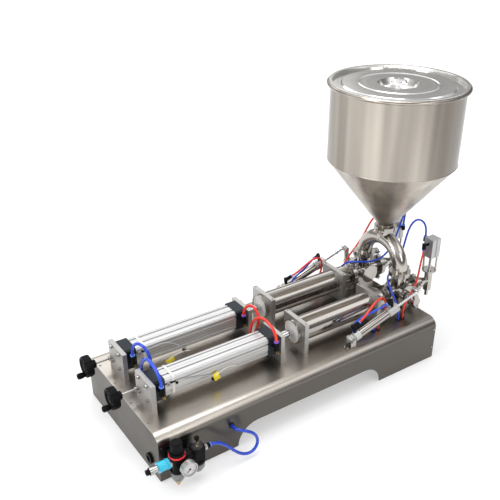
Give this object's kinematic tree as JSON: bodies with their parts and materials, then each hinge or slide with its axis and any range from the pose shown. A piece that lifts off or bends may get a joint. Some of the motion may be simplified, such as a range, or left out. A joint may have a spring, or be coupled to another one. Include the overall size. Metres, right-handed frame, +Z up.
{
  "type": "pneumatic paste filling machine",
  "caption": "Tabletop pneumatic filler: hopper feeding twin piston cylinders through turning valves, with shut-off nozzles, stroke handwheels and an air preparation unit.",
  "frame": {"origin": "middle of the footprint on the table, under the feet", "axes": "+X from the handwheels to the nozzles, -Y the side with the air preparation unit, +Z up"},
  "size_m": [1.1148, 0.4768, 0.7943],
  "materials": {
    "stainless_sheet": "brushed along the long side",
    "black_rubber": "matt",
    "bright_screws": "bright",
    "black_plastic": "fine grain",
    "valve_aluminium": "satin anodised",
    "plate_aluminium": "milled",
    "anodised_barrel": "satin anodised",
    "dark_caps": "satin",
    "grey_cable": "smooth",
    "chromed_rod": "ground and chromed",
    "white_plastic": "turned",
    "polished_steel": "polished",
    "turned_steel": "turned",
    "hopper_steel": "spun and brushed",
    "white_rubber": "smooth",
    "bracket_steel": "mill finish",
    "black_body": "satin",
    "clear_plastic": "clear",
    "brass": "turned",
    "gauge_case": "bright case, white dial",
    "black_paint": "matt",
    "blue_plastic": "glossy",
    "blue_hose": "glossy tube; the red ones are told apart in the render",
    "red_hose": "glossy tube; the blue ones are told apart in the render"
  },
  "bodies": {
    "machine": {"base_cover": "stainless_sheet", "end_panels": "stainless_sheet", "foot_pads": "black_rubber", "screws_and_bolts": "bright_screws", "end_socket": "black_plastic", "hose_grommets": "black_rubber", "valve_bank": "valve_aluminium", "rear_plates": "plate_aluminium", "front_plates": "plate_aluminium", "air_cylinders": "anodised_barrel", "cylinder_caps": "dark_caps", "cylinder_fittings": "black_plastic", "sensor_cables": "grey_cable", "near_paste_cylinder": "polished_steel", "far_paste_cylinder": "polished_steel", "split_clamps": "plate_aluminium", "near_valve_body": "polished_steel", "far_valve_body": "polished_steel", "feed_manifold": "polished_steel", "hopper": "hopper_steel", "tri_clamps": "polished_steel", "clamp_gaskets": "white_rubber", "near_nozzle": "polished_steel", "far_nozzle": "polished_steel", "nozzle_cylinders": "valve_aluminium", "actuator_brackets": "bracket_steel", "regulator_body": "black_body", "clear_bowls": "clear_plastic", "pressure_gauge": "gauge_case", "lubricator_body": "black_body", "slide_valve": "plate_aluminium", "supply_hose": "blue_hose", "cylinder_hoses": "blue_hose", "nozzle_hoses": "red_hose"},
    "near_piston": {"near_piston_rod": "chromed_rod", "near_paste_piston": "white_plastic"},
    "near_rotor": {"near_valve_rotor": "turned_steel"},
    "near_barrel": {"near_actuator": "turned_steel", "near_actuator_hoses": "red_hose"},
    "near_rod": {"near_actuator_rod": "chromed_rod"},
    "near_wheel": {"near_handwheel": "black_plastic"},
    "near_knob": {"near_grip": "black_plastic"},
    "near_slide": {"near_sensor_slide": "plate_aluminium"},
    "near_pin": {"near_needle": "turned_steel"},
    "far_piston": {"far_piston_rod": "chromed_rod", "far_paste_piston": "white_plastic"},
    "far_rotor": {"far_valve_rotor": "turned_steel"},
    "far_barrel": {"far_actuator": "turned_steel", "far_actuator_hoses": "red_hose"},
    "far_rod": {"far_actuator_rod": "chromed_rod"},
    "far_wheel": {"far_handwheel": "black_plastic"},
    "far_knob": {"far_grip": "black_plastic"},
    "far_slide": {"far_sensor_slide": "plate_aluminium"},
    "far_pin": {"far_needle": "turned_steel"},
    "lid": {"hopper_lid": "hopper_steel"},
    "pressure_knob": {"regulator_knob": "black_plastic"},
    "pointer": {"gauge_needle": "black_paint"},
    "oil_knob": {"lubricator_knob": "black_plastic"},
    "sleeve": {"slide_sleeve": "blue_plastic"},
    "cock": {"drain_cock": "brass"}
  },
  "joints": [
    {"name": "near_handwheel_turn", "type": "hinge", "parent": "machine", "child": "near_wheel", "pos_m": [-0.52705, -0.0044, 0.163], "axis": [1, 0, 0], "range_deg": [0, 7200]},
    {"name": "near_sensor_travel", "type": "slide", "parent": "machine", "child": "near_slide", "axis": [1, 0, 0], "range_m": [0, 0.16]},
    {"name": "near_grip_spin", "type": "hinge", "parent": "near_wheel", "child": "near_knob", "pos_m": [-0.54705, -0.0094, 0.1445], "axis": [1, 0, 0], "continuous": true},
    {"name": "near_piston_stroke", "type": "slide", "parent": "machine", "child": "near_piston", "axis": [1, 0, 0], "range_m": [0, 0.2]},
    {"name": "near_valve_turn", "type": "hinge", "parent": "machine", "child": "near_rotor", "pos_m": [0.36695, -0.0404, 0.185], "axis": [0, 1, 0], "range_deg": [0, 90]},
    {"name": "near_actuator_tilt", "type": "hinge", "parent": "machine", "child": "near_barrel", "pos_m": [0.11495, -0.1269, 0.154], "axis": [0, 1, 0], "range_deg": [0, 9.21], "deforming": ["near_actuator_hoses"]},
    {"name": "near_actuator_stroke", "type": "slide", "parent": "near_barrel", "child": "near_rod", "axis": [0.9565, 0, 0.2916], "range_m": [0, 0.0439]},
    {"name": "near_needle_lift", "type": "slide", "parent": "machine", "child": "near_pin", "axis": [0, 0, 1], "range_m": [0, 0.015]},
    {"name": "far_handwheel_turn", "type": "hinge", "parent": "machine", "child": "far_wheel", "pos_m": [-0.52705, 0.1496, 0.163], "axis": [1, 0, 0], "range_deg": [0, 7200]},
    {"name": "far_sensor_travel", "type": "slide", "parent": "machine", "child": "far_slide", "axis": [1, 0, 0], "range_m": [0, 0.16]},
    {"name": "far_grip_spin", "type": "hinge", "parent": "far_wheel", "child": "far_knob", "pos_m": [-0.54705, 0.1446, 0.1445], "axis": [1, 0, 0], "continuous": true},
    {"name": "far_piston_stroke", "type": "slide", "parent": "machine", "child": "far_piston", "axis": [1, 0, 0], "range_m": [0, 0.2]},
    {"name": "far_valve_turn", "type": "hinge", "parent": "machine", "child": "far_rotor", "pos_m": [0.36695, 0.1136, 0.185], "axis": [0, 1, 0], "range_deg": [0, 90]},
    {"name": "far_actuator_tilt", "type": "hinge", "parent": "machine", "child": "far_barrel", "pos_m": [0.11495, 0.2001, 0.154], "axis": [0, 1, 0], "range_deg": [0, 9.21], "deforming": ["far_actuator_hoses"]},
    {"name": "far_actuator_stroke", "type": "slide", "parent": "far_barrel", "child": "far_rod", "axis": [0.9565, 0, 0.2916], "range_m": [0, 0.0439]},
    {"name": "far_needle_lift", "type": "slide", "parent": "machine", "child": "far_pin", "axis": [0, 0, 1], "range_m": [0, 0.015]},
    {"name": "lid_lift", "type": "slide", "parent": "machine", "child": "lid", "axis": [0, 0, 1], "range_m": [0, 0.05]},
    {"name": "regulator_turn", "type": "hinge", "parent": "machine", "child": "pressure_knob", "pos_m": [-0.46305, -0.1984, 0.12], "axis": [0, 0, 1], "range_deg": [0, 720]},
    {"name": "gauge_sweep", "type": "hinge", "parent": "machine", "child": "pointer", "pos_m": [-0.45105, -0.2354, 0.077], "axis": [0, 1, 0], "range_deg": [0, 270]},
    {"name": "lubricator_turn", "type": "hinge", "parent": "machine", "child": "oil_knob", "pos_m": [-0.41005, -0.1984, 0.118], "axis": [0, 0, 1], "range_deg": [0, 720]},
    {"name": "sleeve_shift", "type": "slide", "parent": "machine", "child": "sleeve", "axis": [-1, 0, 0], "range_m": [0, 0.01]},
    {"name": "drain_turn", "type": "hinge", "parent": "machine", "child": "cock", "pos_m": [-0.46305, -0.1984, 0.015], "axis": [0, 0, 1], "range_deg": [0, 90]}
  ],
  "couplings": [
    {"joint": "near_sensor_travel", "follows": "near_handwheel_turn", "m_per_rad": 0.0012732},
    {"joint": "near_actuator_tilt", "follows": "near_valve_turn", "ratio": 0.10229},
    {"joint": "near_actuator_stroke", "follows": "near_valve_turn", "m_per_rad": 0.027928},
    {"joint": "far_sensor_travel", "follows": "far_handwheel_turn", "m_per_rad": 0.0012732},
    {"joint": "far_actuator_tilt", "follows": "far_valve_turn", "ratio": 0.10229},
    {"joint": "far_actuator_stroke", "follows": "far_valve_turn", "m_per_rad": 0.027928}
  ]
}
